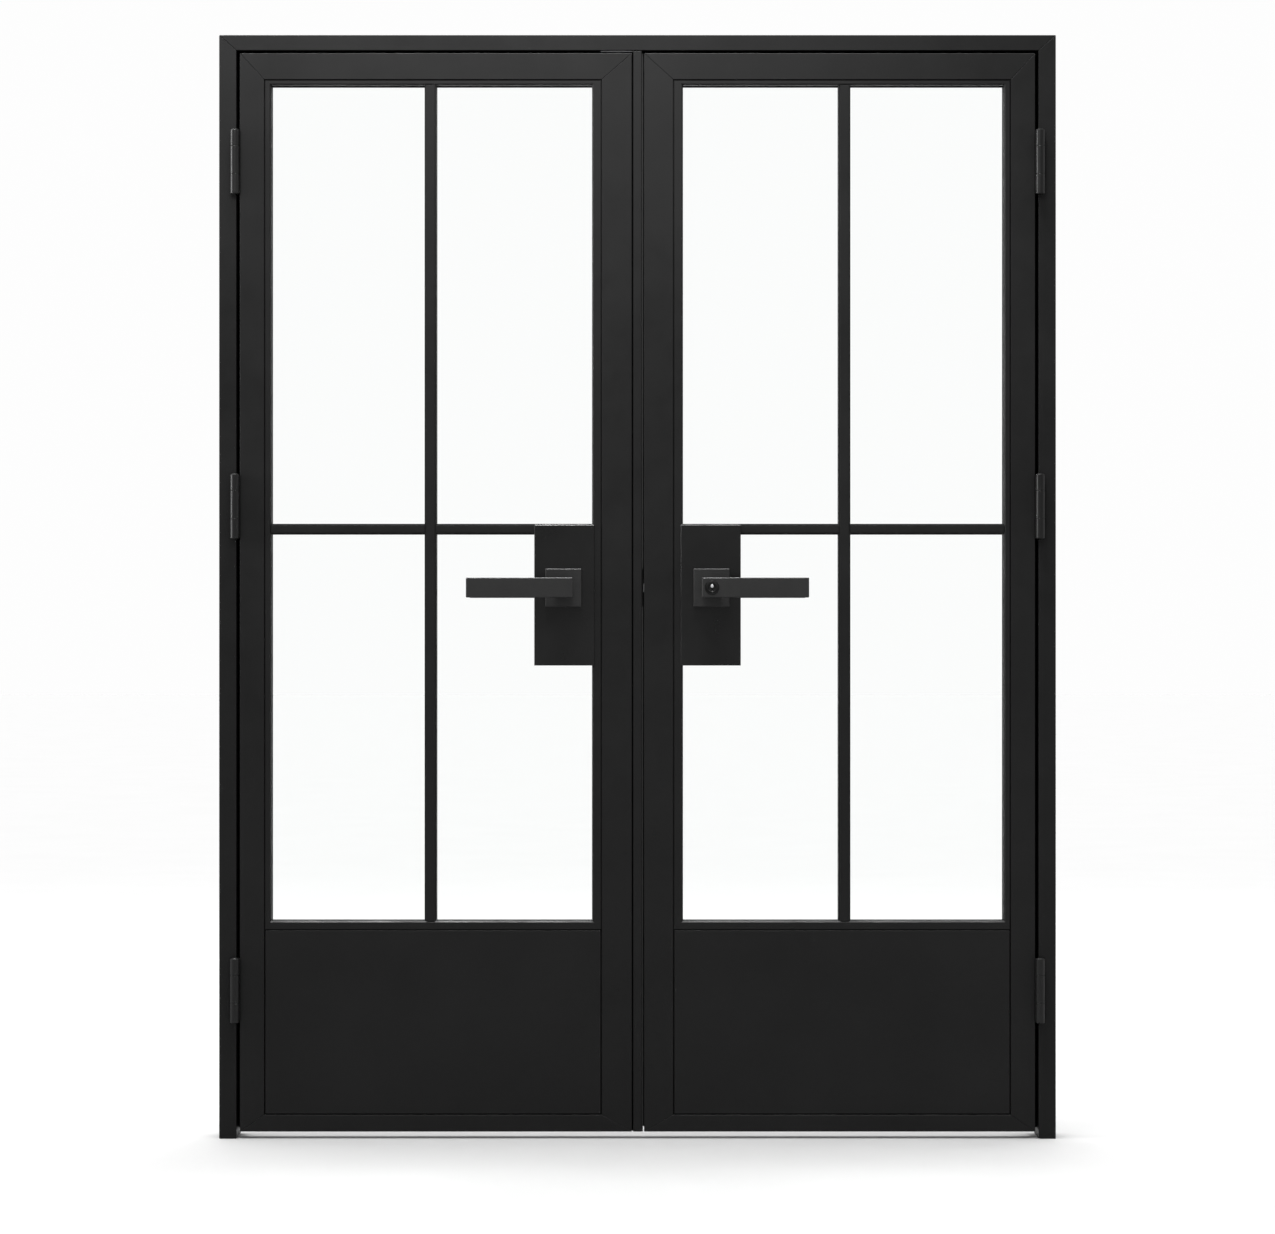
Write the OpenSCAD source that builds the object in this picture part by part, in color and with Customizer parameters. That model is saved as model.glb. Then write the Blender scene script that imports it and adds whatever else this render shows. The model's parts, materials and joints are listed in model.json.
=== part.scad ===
// Steel french doors in their frame. Millimetres, +Z up, the front faces -Y.
// X = 0 is the middle of the frame, Y = 0 the middle of the leaves' thickness, Z = 0 the floor.

/* [Frame] */
// Overall width of the frame
frame_w = 1560; // [1200:1:1900]
// Overall height of the frame
frame_h = 2058; // [1700:1:2500]
// Depth of the jambs and the head
frame_d = 80; // [70:1:120]
// Face width of a jamb
jamb_w = 32; // [26:1:60]
// Face height of the head
head_h = 28; // [24:1:60]
// Wall of the jambs and the head
frame_wall = 2.5; // [1.5:0.1:3]
// Width of a door stop
stop_w = 16; // [13:0.5:20]
// Radius of the fixing holes
anchor_r = 5.5; // [3:0.1:7]
// Height of each jamb's lowest fixing hole
anchor_z = 160; // [60:1:200]
// Distance from the frame's top down to each jamb's highest fixing hole
anchor_drop = 218; // [100:1:300]
// Spacing of the head's two fixing holes
head_anchor_gap = 900; // [400:1:1000]

/* [Leaves] */
// Thickness of a leaf
leaf_t = 45; // [40:1:55]
// Gap between a leaf and its jamb
side_gap = 6.6; // [6.3:0.1:8]
// Gap between the leaves and the head
top_gap = 5.7; // [4:0.1:8]
// Gap between the leaves and the floor
floor_gap = 13.4; // [8:0.1:20]
// Face width of a hinge stile
hinge_stile_w = 45.3; // [38:0.1:70]
// Distance from the middle of the frame to a meeting stile's inner edge
stile_reach = 66.6; // [55:0.1:90]
// Face height of a top rail
top_rail_h = 48.9; // [35:0.1:80]
// Face height of a bottom rail
bottom_rail_h = 31.3; // [25:0.1:80]
// Height of the kick panel's field
kick_h = 345; // [200:1:500]
// Height of the hidden rail under the glass
mid_rail_h = 40; // [30:1:60]
// Wall of the leaves' tubes
tube_wall = 2; // [1.5:0.1:3]
// Thickness of the kick panels' sheet
sheet_t = 1.5; // [1:0.1:2.5]

/* [Astragal] */
// Width of the astragal bar
astragal_w = 16.8; // [15:0.1:24]
// Thickness of the spine that joins the bar to the left leaf
spine_t = 2.2; // [1.5:0.1:4]
// Working gap between the bar and the right leaf
meeting_gap = 3.9; // [3.5:0.1:6]
// Gap between the bar and the head
astragal_top_gap = 1.6; // [1:0.1:3]

/* [Glazing] */
// Width of the shadow groove around the beads and kick panels
groove_w = 2.2; // [1.5:0.1:4]
// Depth of the shadow groove
groove_d = 6; // [4:0.1:8]
// Depth of a bead
bead_d = 12; // [9:0.1:14]
// Bevel on a bead's inner edge
bead_bevel = 2.5; // [1:0.1:4]
// Width of the bead on the hinge side, groove included
bead_hinge_w = 12.7; // [10:0.1:20]
// Width of the bead on the meeting side, groove included
bead_meeting_w = 18.2; // [12:0.1:22]
// Width of the top bead, groove included
bead_top_w = 10.2; // [10:0.1:20]
// Width of the bottom bead, groove included
bead_bottom_w = 16.4; // [12:0.1:22]
// Thickness of the glass units
glass_t = 18; // [14:0.1:20]
// Space between a pane's edge and what surrounds it
glass_play = 2; // [1.5:0.1:3]
// How far the gasket laps onto the glass
gasket_lap = 4.5; // [3:0.1:5]
// How far a vertical glazing bar lies outwards from the middle of its glass
bar_shift = 2; // [0:0.1:20]
// Height of the horizontal glazing bars
bar_z = 1137; // [1090:1:1250]
// Face width of a vertical glazing bar
bar_w = 22; // [20:0.1:30]
// Face height of a horizontal glazing bar
cross_bar_h = 19.5; // [18:0.1:30]
// Width of the shoulder on each side of a bar's raised face
bar_shoulder = 3.2; // [2:0.1:5]
// Depth of that shoulder
bar_step = 3; // [1:0.1:5]
// Width of a bar's web between the panes
web_w = 6; // [4:0.1:8]

/* [Hinges] */
// Height of the bottom hinges' middle above the leaves' lower edge
hinge_rise = 263.6; // [150:0.1:350]
// Distance from the leaves' upper edge down to the top hinges' middle
hinge_drop = 203.3; // [120:0.1:300]
// Distance from the top hinges' middle down to the middle hinges' middle
hinge_step = 642; // [500:1:800]
// Radius of a hinge barrel
barrel_r = 8.75; // [7:0.05:12]
// Heights of a barrel's three knuckles, from the bottom
knuckle_hs = [36.5, 52, 30];
// Gap between two knuckles
knuckle_gap = 0.4; // [0.2:0.1:1]
// Space between a hinge barrel and the leaves' front plane
barrel_clear = 0.75; // [0.4:0.05:3]
// Distance from the jamb's inner face to the hinge axis, into the jamb
axis_in = 2; // [1:0.1:2.5]
// Radius of a hinge pin
pin_r = 5; // [3.5:0.1:5.5]
// Thickness of a hinge flap
flap_t = 2.5; // [2:0.1:2.8]
// Depth of a hinge flap behind the leaves' front plane
flap_d = 34; // [28:1:40]
// Radius of a hinge screw's shank
hinge_screw_r = 2.5; // [2:0.1:2.7]

/* [Handles] */
// Height of the levers
lever_z = 1027.5; // [980:0.5:1060]
// Distance from the middle of the frame to a lever's axis
lever_x = 138; // [130:1:142]
// Width of a lock cover plate
plate_w = 112; // [108:1:135]
// Height of a lock cover plate
plate_h = 262.5; // [200:0.5:300]
// Thickness of a lock cover plate
plate_t = 3; // [2:0.1:5]
// How far a cover plate's top stands above the glazing bar's middle
plate_over_bar = 8; // [6:0.1:9]
// How far a cover plate stands past the lock box
plate_lap = 7; // [6.6:0.1:9]
// Width of a rose
rose_w = 67; // [60:1:80]
// Height of a rose
rose_h = 71; // [60:1:85]
// Thickness of a rose
rose_t = 8; // [6:0.1:12]
// Distance from a cover plate to a lever's outer face
lever_out = 55; // [45:1:65]
// Length of a lever from its axis to its tip
lever_reach = 179.5; // [120:0.5:190]
// Length of a lever behind its axis
lever_tail = 18.5; // [18.2:0.1:24]
// Height of a lever's bar
lever_h = 37; // [36:0.5:45]
// Thickness of a lever's bar
lever_t = 10; // [8:0.1:14]
// Radius of a lever's hub
hub_r = 17; // [15.5:0.1:17.5]
// Radius of the key cylinder
key_r = 13.2; // [12:0.1:14]
// Radius of the key cylinder's plug
plug_r = 7; // [5:0.1:8]

/* [Lock] */
// Radius of the lock chassis
chassis_r = 26; // [22:0.5:28]
// Radius of the spindle
spindle_r = 6; // [5.8:0.1:7]
// Side of the spindle's square ends
square_w = 8; // [6:0.1:8]
// Thickness of the latch bolt
latch_t = 10; // [8:0.1:11]
// Height of the latch bolt
latch_h = 16; // [12:0.1:20]
// How far the latch bolt's nose stands out of the leaf
latch_out = 1.2; // [0.5:0.1:1.5]
// Travel of the latch bolt
latch_travel = 12; // [8:0.5:14]
// Radius of the shoot bolts
bolt_r = 6; // [5:0.1:7]

/* [Hidden] */
$fn = 48;
FRAME_STEEL = "#34363a";
LEAF_STEEL = "#3a3c40";
PANEL_STEEL = "#2f3135";
HANDLE_STEEL = "#45474b";
BRIGHT_STEEL = "#9a9da2";
GLASS = [0.85, 0.92, 0.94, 0.3];
RUBBER = "#17181a";
FOAM = "#d8d2c4";
// Clearances
fit_play = 0.05; // a shaft in its bore
part_play = 0.3; // moving pieces that pass each other
hole_play = 0.1; // a fixed piece in its hole
bar_joint = 0.2; // the hairline joint between two cut bars
// Frame
half_w = frame_w / 2;
open_x = half_w - jamb_w;
open_z = frame_h - head_h;
front_y = -leaf_t / 2;
back_y = leaf_t / 2;
jamb_back = front_y + frame_d;
seal_t = 3.6;
seal_play = 0.4;
seal_w = 8;
stop_y = back_y + seal_play + seal_t;
stop_rise = 1.5; // how far the stops end above the leaves' lower edge
anchor_step = (frame_h - anchor_drop - anchor_z) / 3;
anchors = [for (i = [0:3]) anchor_z + i * anchor_step];
// Leaves
leaf_x = open_x - side_gap;
leaf_z0 = floor_gap;
leaf_z1 = open_z - top_gap;
left_edge = astragal_w / 2 + spine_t;
right_edge = astragal_w / 2 + meeting_gap;
field_x0 = stile_reach;
field_x1 = leaf_x - hinge_stile_w;
field_z0 = leaf_z0 + bottom_rail_h;
field_z1 = leaf_z1 - top_rail_h;
sill_z = field_z0 + kick_h;
mid_z = sill_z - mid_rail_h;
core_y = leaf_t / 2 - groove_d - sheet_t;
mid_y = core_y;
// Glazing
sight_x0 = field_x0 + bead_meeting_w;
sight_x1 = field_x1 - bead_hinge_w;
sight_z0 = sill_z + bead_bottom_w;
sight_z1 = field_z1 - bead_top_w;
bar_x = (sight_x0 + sight_x1) / 2 + bar_shift;
bead_y = leaf_t / 2 - bead_d;
glass_y = glass_t / 2;
cross_bar_in = 0.4; // how far the horizontal bars' faces lie behind the vertical's
// Hinges
hinge_zs = [leaf_z0 + hinge_rise, leaf_z1 - hinge_drop - hinge_step, leaf_z1 - hinge_drop];
axis_x = open_x + axis_in;
axis_y = front_y - barrel_r - barrel_clear;
flap_back = front_y + flap_d;
flap_x0 = open_x - flap_t;
door_flap_x1 = leaf_x + flap_t;
barrel_h = knuckle_hs[0] + knuckle_hs[1] + knuckle_hs[2];
cap_h = 2.4;
cap_r = barrel_r - 1.2;
screw_head_r = hinge_screw_r + 2.1;
screw_head_h = 2;
screw_l = 12;
screw_spots = [[0.32, -0.34], [0.32, 0.34], [0.72, -0.15], [0.72, 0.15]];
// Lock
plate_x0 = lever_x - plate_w / 2 - 1.5;
plate_x1 = plate_x0 + plate_w;
plate_z1 = bar_z + plate_over_bar;
plate_z0 = plate_z1 - plate_h;
plate_y = leaf_t / 2 + plate_t;
plate_bevel = 1;
box_x0 = sight_x0;
box_x1 = plate_x1 - plate_lap;
box_z0 = plate_z0 + plate_lap;
box_z1 = bar_z - cross_bar_h / 2;
neck_y = bead_y - 0.5;
neck_h = 36;
rose_y = plate_y + rose_t;
lever_y = plate_y + lever_out;
lever_bevel = 1.2;
hub_seat = plate_y + 1;
square_l = 16;
socket_play = 0.1;
key_l = 26;
key_proud = 1;
plug_l = 20;
keyway_w = 1.4;
keyway_h = 8;
keyway_l = 8;
turn_l = 6;
turn_t = 4;
turn_h = 2 * plug_r - 1;
case_y = latch_t / 2 + part_play + 1.5;
case_z = latch_h / 2 + part_play + 1.5;
case_x0 = right_edge + tube_wall;
case_x1 = lever_x - chassis_r;
latch_x0 = right_edge - latch_out;
latch_x1 = case_x1 - latch_travel - 10;
face_w = 25;
face_h = 58;
face_screw_z = 22;
face_screw_r = 2;
strike_t = 1.2;
strike_w = 24;
strike_h = 70;
strike_screw_z = 27;
rod_x = (left_edge + stile_reach) / 2;
rod_gap = 2;
keeper_t = 1.5;
keeper_l = 60;
keeper_w = 24;
meeting_seal_w = 6;
meeting_seal_play = 2.2; // lets the leaf's back corner swing past
meeting_seal_in = 3.5; // from the leaf's front to the seal

// ---- helpers ----

// A box between two corners.
module span(lo, hi) {
    translate(lo) cube(hi - lo);
}

// An outline drawn in X and Z, given thickness from y0 to y1.
module slab(y0, y1) {
    translate([0, y1, 0]) rotate([90, 0, 0]) linear_extrude(y1 - y0) children();
}

// An outline drawn in Y and Z, drawn out along X from x0 to x1.
module along_x(x0, x1) {
    translate([x0, 0, 0]) rotate([90, 0, 90]) linear_extrude(x1 - x0) children();
}

// A cylinder along X from x0 to x1, through a point in Y and Z.
module rod_x_dir(r, x0, x1, y, z) {
    translate([x0, y, z]) rotate([0, 90, 0]) cylinder(r = r, h = x1 - x0);
}

// A cylinder along Y from y0 to y1, through a point in X and Z.
module rod_y_dir(r, y0, y1, x, z) {
    translate([x, y1, z]) rotate([90, 0, 0]) cylinder(r = r, h = y1 - y0);
}

// Draws its children on the left side.
module on_left() {
    mirror([1, 0, 0]) children();
}

// Draws its children on the front and, mirrored, on the back.
module both_faces() {
    children();
    mirror([0, 1, 0]) children();
}

// A rectangle with bevelled corners, centred on a point.
module bevelled(w, h, bevel) {
    polygon([
        [-w / 2 + bevel, -h / 2], [w / 2 - bevel, -h / 2],
        [w / 2, -h / 2 + bevel], [w / 2, h / 2 - bevel],
        [w / 2 - bevel, h / 2], [-w / 2 + bevel, h / 2],
        [-w / 2, h / 2 - bevel], [-w / 2, -h / 2 + bevel]
    ]);
}

// The tube that runs around a rectangle: lo and hi are its corners, [low X side, high X side,
// bottom, top] its face widths, y0 and y1 its depth.
module tube_ring(lo, hi, sides, y0, y1, wall) {
    inner_lo = lo + [sides[0], sides[2]];
    inner_hi = hi - [sides[1], sides[3]];
    difference() {
        slab(y0, y1) difference() {
            translate(lo) square(hi - lo);
            translate(inner_lo) square(inner_hi - inner_lo);
        }
        slab(y0 + wall, y1 - wall) difference() {
            translate(lo + [wall, wall]) square(hi - lo - [2 * wall, 2 * wall]);
            translate(inner_lo - [wall, wall])
                square(inner_hi - inner_lo + [2 * wall, 2 * wall]);
        }
    }
}

// ---- frame ----

// The head and both jambs as one tube, before the mitres part them.
module frame_tube() {
    difference() {
        slab(front_y, jamb_back) difference() {
            translate([-half_w, 0]) square([frame_w, frame_h]);
            translate([-open_x, 0]) square([2 * open_x, open_z]);
        }
        slab(front_y + frame_wall, jamb_back - frame_wall) difference() {
            translate([-half_w + frame_wall, 0])
                square([frame_w - 2 * frame_wall, frame_h - frame_wall]);
            translate([-open_x - frame_wall, 0])
                square([2 * (open_x + frame_wall), open_z + frame_wall]);
        }
    }
}

module jamb() {
    difference() {
        intersection() {
            frame_tube();
            slab(front_y, jamb_back)
                polygon([[open_x, 0], [half_w, 0], [half_w, frame_h], [open_x, open_z]]);
        }
        for (z = anchors)
            rod_x_dir(anchor_r, open_x - 1, half_w + 1, (front_y + jamb_back) / 2, z);
        for (z = hinge_zs) hinge_screw_holes(open_x - 1, open_x + frame_wall + 1, z);
    }
}

module left_jamb() {
    color(FRAME_STEEL) on_left() jamb();
}

module right_jamb() {
    color(FRAME_STEEL) jamb();
}

module head() {
    color(FRAME_STEEL) difference() {
        intersection() {
            frame_tube();
            slab(front_y, jamb_back) polygon([
                [-open_x, open_z], [open_x, open_z], [half_w, frame_h], [-half_w, frame_h]
            ]);
        }
        for (side = [-1, 1])
            translate([side * head_anchor_gap / 2, (front_y + jamb_back) / 2, open_z - 1])
                cylinder(r = anchor_r, h = head_h + 2);
        translate([-rod_x, 0, open_z - 1])
            cylinder(r = bolt_r + part_play, h = frame_wall + 2);
    }
}

module door_stops() {
    color(FRAME_STEEL) {
        for (side = [-1, 1]) difference() {
            mirrored_span(side, [open_x - stop_w, stop_y, leaf_z0 + stop_rise],
                [open_x, jamb_back, open_z]);
            mirrored_span(side,
                [open_x - stop_w + tube_wall, stop_y + tube_wall, leaf_z0 + stop_rise - 1],
                [open_x - tube_wall, jamb_back - tube_wall, open_z - tube_wall]);
        }
        difference() {
            span([-open_x + stop_w + bar_joint, stop_y, open_z - stop_w],
                [open_x - stop_w - bar_joint, jamb_back, open_z]);
            span([-open_x + stop_w + tube_wall, stop_y + tube_wall, open_z - stop_w + tube_wall],
                [open_x - stop_w - tube_wall, jamb_back - tube_wall, open_z - tube_wall]);
        }
    }
}

// A box on the right side, or its mirror image on the left.
module mirrored_span(side, lo, hi) {
    if (side > 0) span(lo, hi);
    else on_left() span(lo, hi);
}

module frame_seal() {
    color(RUBBER) {
        for (side = [-1, 1])
            mirrored_span(side, [open_x - stop_w, stop_y - seal_t, leaf_z0 + stop_rise],
                [open_x - stop_w + seal_w, stop_y, open_z - stop_w + seal_w]);
        span([-open_x + stop_w + bar_joint, stop_y - seal_t, open_z - stop_w],
            [open_x - stop_w - bar_joint, stop_y, open_z - stop_w + seal_w]);
    }
}

module head_keeper() {
    color(BRIGHT_STEEL) difference() {
        span([-rod_x - keeper_l / 2, -keeper_w / 2, open_z - keeper_t],
            [-rod_x + keeper_l / 2, keeper_w / 2, open_z]);
        translate([-rod_x, 0, open_z - keeper_t - 1])
            cylinder(r = bolt_r + part_play, h = keeper_t + 2);
    }
}

// ---- hinges ----

// The holes for one flap's screws, from x0 to x1.
module hinge_screw_holes(x0, x1, z) {
    for (spot = screw_spots)
        rod_x_dir(hinge_screw_r + fit_play, x0, x1, front_y + spot[0] * flap_d,
            z + spot[1] * barrel_h);
}

// A flap's screws: their heads are flush with x, and they point to the side of dir.
module hinge_screws(x, dir, z) {
    for (spot = screw_spots)
        translate([x, front_y + spot[0] * flap_d, z + spot[1] * barrel_h])
            rotate([0, 90 * dir, 0]) screw_body(screw_l);
}

// A countersunk screw that points along +Z from its head.
module screw_body(l) {
    rotate_extrude() polygon([
        [0, 0], [screw_head_r, 0], [hinge_screw_r, screw_head_h], [hinge_screw_r, l], [0, l]
    ]);
}

// The countersinks for one flap's screws.
module countersinks(x, dir, z) {
    for (spot = screw_spots)
        translate([x, front_y + spot[0] * flap_d, z + spot[1] * barrel_h])
            rotate([0, 90 * dir, 0]) rotate_extrude() polygon([
                [0, -1], [screw_head_r + fit_play, -1], [screw_head_r + fit_play, 0],
                [hinge_screw_r + fit_play, screw_head_h],
                [hinge_screw_r + fit_play, flap_t + 1], [0, flap_t + 1]
            ]);
}

// One knuckle of the barrel: bottom 0, middle 1 or top 2, inside a hinge centred on z.
module knuckle(i, z, r, grow) {
    below = i == 0 ? 0 : i == 1 ? knuckle_hs[0] : knuckle_hs[0] + knuckle_hs[1];
    z0 = z - barrel_h / 2 + below + (i == 0 ? 0 : knuckle_gap / 2) - grow;
    z1 = z - barrel_h / 2 + below + knuckle_hs[i] - (i == 2 ? 0 : knuckle_gap / 2) + grow;
    translate([axis_x, axis_y, z0]) cylinder(r = r, h = z1 - z0);
}

// The frame's half of one hinge: the outer knuckles and the flap on the jamb.
module hinge_frame_half(z) {
    difference() {
        union() {
            knuckle(0, z, barrel_r, 0);
            knuckle(2, z, barrel_r, 0);
            span([flap_x0, axis_y + pin_r + 0.6, z - barrel_h / 2],
                [open_x, flap_back, z + barrel_h / 2]);
        }
        translate([axis_x, axis_y, z - barrel_h / 2 - 1])
            cylinder(r = pin_r + fit_play, h = barrel_h + 2);
        knuckle(1, z, barrel_r + part_play, knuckle_gap);
        countersinks(flap_x0, 1, z);
    }
}

// The leaf's half of one hinge: the middle knuckle and the flap on the stile's edge.
module hinge_door_half(z) {
    difference() {
        union() {
            knuckle(1, z, barrel_r, 0);
            span([leaf_x, axis_y, z - barrel_h / 2],
                [door_flap_x1, flap_back, z + barrel_h / 2]);
        }
        translate([axis_x, axis_y, z - barrel_h / 2 - 1])
            cylinder(r = pin_r + fit_play, h = barrel_h + 2);
        for (i = [0, 2]) knuckle(i, z, barrel_r + part_play, knuckle_gap);
        for (side = [-1, 1]) translate([axis_x, axis_y, z + side * (barrel_h / 2 + 1) - 1])
            cylinder(r = barrel_r + part_play, h = 2);
        countersinks(door_flap_x1, -1, z);
    }
}

// One pin, with a domed cap on each end of the barrel.
module hinge_pin(z) {
    translate([axis_x, axis_y, z]) rotate_extrude() polygon(concat(
        [[0, -barrel_h / 2 - cap_h]],
        [for (a = [0:15:90]) [cap_r * sin(a), -barrel_h / 2 - cap_h * cos(a)]],
        [[pin_r, -barrel_h / 2], [pin_r, barrel_h / 2]],
        [for (a = [90:-15:0]) [cap_r * sin(a), barrel_h / 2 + cap_h * cos(a)]]
    ));
}

module hinge_frame_halves() {
    for (z = hinge_zs) hinge_frame_half(z);
}

module hinge_door_halves() {
    for (z = hinge_zs) hinge_door_half(z);
}

module hinge_pins() {
    for (z = hinge_zs) hinge_pin(z);
}

module left_hinge_frame_halves() {
    color(FRAME_STEEL) on_left() hinge_frame_halves();
}

module right_hinge_frame_halves() {
    color(FRAME_STEEL) hinge_frame_halves();
}

module left_hinge_door_halves() {
    color(LEAF_STEEL) on_left() hinge_door_halves();
}

module right_hinge_door_halves() {
    color(LEAF_STEEL) hinge_door_halves();
}

module left_hinge_pins() {
    color(BRIGHT_STEEL) on_left() hinge_pins();
}

module right_hinge_pins() {
    color(BRIGHT_STEEL) hinge_pins();
}

module jamb_hinge_screws() {
    color(BRIGHT_STEEL) for (z = hinge_zs) {
        hinge_screws(flap_x0, 1, z);
        on_left() hinge_screws(flap_x0, 1, z);
    }
}

module left_leaf_screws() {
    color(BRIGHT_STEEL) {
        on_left() for (z = hinge_zs) hinge_screws(door_flap_x1, -1, z);
        for (side = [-1, 1])
            translate([astragal_w / 2 + strike_t, 0, lever_z + side * strike_screw_z])
                rotate([0, -90, 0]) small_screw();
    }
}

module right_leaf_screws() {
    color(BRIGHT_STEEL) {
        for (z = hinge_zs) hinge_screws(door_flap_x1, -1, z);
        for (side = [-1, 1])
            translate([right_edge, 0, lever_z + side * face_screw_z])
                rotate([0, 90, 0]) small_screw();
    }
}

// A small straight screw that points along +Z from its head's face.
module small_screw() {
    cylinder(r = face_screw_r, h = 7);
}

// ---- leaves ----

// The leaf's tubes as one ring, before the mitres part them. edge is its meeting edge.
module leaf_ring(edge) {
    tube_ring([edge, leaf_z0], [leaf_x, leaf_z1],
        [field_x0 - edge, hinge_stile_w, bottom_rail_h, top_rail_h],
        front_y, back_y, tube_wall);
}

module hinge_stile(edge) {
    difference() {
        intersection() {
            leaf_ring(edge);
            slab(front_y, back_y) polygon([
                [field_x1, field_z0], [leaf_x, leaf_z0], [leaf_x, leaf_z1], [field_x1, field_z1]
            ]);
        }
        for (z = hinge_zs) hinge_screw_holes(leaf_x - tube_wall - 1, leaf_x + 1, z);
    }
}

module meeting_stile(edge) {
    intersection() {
        leaf_ring(edge);
        slab(front_y, back_y) polygon([
            [edge, leaf_z0], [field_x0, field_z0], [field_x0, field_z1], [edge, leaf_z1]
        ]);
    }
}

module rails(edge) {
    intersection() {
        leaf_ring(edge);
        slab(front_y, back_y) polygon([
            [field_x0, field_z1], [field_x1, field_z1], [leaf_x, leaf_z1], [edge, leaf_z1]
        ]);
    }
    intersection() {
        leaf_ring(edge);
        slab(front_y, back_y) polygon([
            [edge, leaf_z0], [leaf_x, leaf_z0], [field_x1, field_z0], [field_x0, field_z0]
        ]);
    }
    along_x(field_x0, field_x1) difference() {
        translate([-mid_y, mid_z]) square([2 * mid_y, mid_rail_h]);
        translate([-mid_y + tube_wall, mid_z + tube_wall])
            square([2 * (mid_y - tube_wall), mid_rail_h - 2 * tube_wall]);
    }
}

module left_hinge_stile() {
    color(LEAF_STEEL) on_left() hinge_stile(left_edge);
}

module right_hinge_stile() {
    color(LEAF_STEEL) hinge_stile(right_edge);
}

module left_meeting_stile() {
    color(LEAF_STEEL) on_left() difference() {
        meeting_stile(left_edge);
        neck_hole();
    }
}

module right_meeting_stile() {
    color(LEAF_STEEL) difference() {
        meeting_stile(right_edge);
        neck_hole();
        span([right_edge - 1, -face_w / 2 - hole_play, lever_z - face_h / 2 - hole_play],
            [right_edge + tube_wall, face_w / 2 + hole_play, lever_z + face_h / 2 + hole_play]);
    }
}

// The hole in a meeting stile's inner wall where the lock's neck comes in.
module neck_hole() {
    span([field_x0 - tube_wall - 1, -case_y - hole_play, lever_z - case_z - hole_play],
        [field_x0 + 1, case_y + hole_play, lever_z + case_z + hole_play]);
}

module left_rails() {
    color(LEAF_STEEL) on_left() difference() {
        rails(left_edge);
        translate([rod_x, 0, leaf_z0 - 1])
            cylinder(r = bolt_r + fit_play, h = tube_wall + 2);
        translate([rod_x, 0, leaf_z1 - tube_wall - 1])
            cylinder(r = bolt_r + fit_play, h = tube_wall + 2);
    }
}

module right_rails() {
    color(LEAF_STEEL) rails(right_edge);
}

// ---- kick panels ----

// One pressed sheet: a field raised out of a lip that meets the tubes and the mid rail.
module kick_panel() {
    lip = groove_w + sheet_t;
    difference() {
        union() {
            span([field_x0, front_y + groove_d, field_z0],
                [field_x1, front_y + groove_d + sheet_t, sill_z]);
            span([field_x0 + groove_w, front_y, field_z0 + groove_w],
                [field_x1 - groove_w, front_y + groove_d + sheet_t, sill_z - groove_w / 2]);
        }
        span([field_x0 + lip, front_y + sheet_t, field_z0 + lip],
            [field_x1 - lip, front_y + groove_d + sheet_t + 1, sill_z - groove_w / 2 - sheet_t]);
    }
}

module kick_core() {
    lip = groove_w + sheet_t;
    union() {
        span([field_x0, -core_y, field_z0], [field_x1, core_y, mid_z]);
        for (face = [-1, 1]) {
            y = face * (leaf_t / 2 - sheet_t);
            span([field_x0 + lip, min(y, face * core_y), field_z0 + lip],
                [field_x1 - lip, max(y, face * core_y), sill_z - groove_w / 2 - sheet_t]);
        }
    }
}

module left_kick_panels() {
    color(PANEL_STEEL) on_left() both_faces() kick_panel();
}

module right_kick_panels() {
    color(PANEL_STEEL) both_faces() kick_panel();
}

module left_kick_core() {
    color(FOAM) on_left() kick_core();
}

module right_kick_core() {
    color(FOAM) kick_core();
}

// ---- glazing ----

// A bead's section: u runs inwards from the tube, v backwards from the leaf's face.
function bead_section(w, groove) = [
    [groove, 0], [w - bead_bevel, 0], [w, bead_bevel], [w, bead_d],
    [0, bead_d], [0, groove_d], [groove, groove_d]
];

// The four mitred bars of one bead ring.
module bead_ring() {
    intersection() {
        translate([0, 0, sill_z]) linear_extrude(field_z1 - sill_z)
            polygon([for (p = bead_section(bead_meeting_w, groove_w))
                [field_x0 + p[0], front_y + p[1]]]);
        slab(front_y, 0) polygon([
            [field_x0, sill_z], [sight_x0, sight_z0], [sight_x0, sight_z1], [field_x0, field_z1]
        ]);
    }
    intersection() {
        translate([0, 0, sill_z]) linear_extrude(field_z1 - sill_z)
            polygon([for (p = bead_section(bead_hinge_w, groove_w))
                [field_x1 - p[0], front_y + p[1]]]);
        slab(front_y, 0) polygon([
            [field_x1, sill_z], [sight_x1, sight_z0], [sight_x1, sight_z1], [field_x1, field_z1]
        ]);
    }
    intersection() {
        along_x(field_x0, field_x1)
            polygon([for (p = bead_section(bead_bottom_w, groove_w / 2))
                [front_y + p[1], sill_z + p[0]]]);
        slab(front_y, 0) polygon([
            [field_x0, sill_z], [field_x1, sill_z], [sight_x1, sight_z0], [sight_x0, sight_z0]
        ]);
    }
    intersection() {
        along_x(field_x0, field_x1)
            polygon([for (p = bead_section(bead_top_w, groove_w))
                [front_y + p[1], field_z1 - p[0]]]);
        slab(front_y, 0) polygon([
            [field_x0, field_z1], [field_x1, field_z1], [sight_x1, sight_z1], [sight_x0, sight_z1]
        ]);
    }
}

module left_beads() {
    color(LEAF_STEEL) on_left() both_faces() bead_ring();
}

module right_beads() {
    color(LEAF_STEEL) both_faces() bead_ring();
}

// A glazing bar's stepped face, seen along the bar: across it, then backwards from face.
module bar_face(w, face) {
    polygon([
        [-w / 2, -bead_y], [-w / 2, face + bar_step],
        [-w / 2 + bar_shoulder, face + bar_step], [-w / 2 + bar_shoulder, face],
        [w / 2 - bar_shoulder, face], [w / 2 - bar_shoulder, face + bar_step],
        [w / 2, face + bar_step], [w / 2, -bead_y]
    ]);
}

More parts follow.
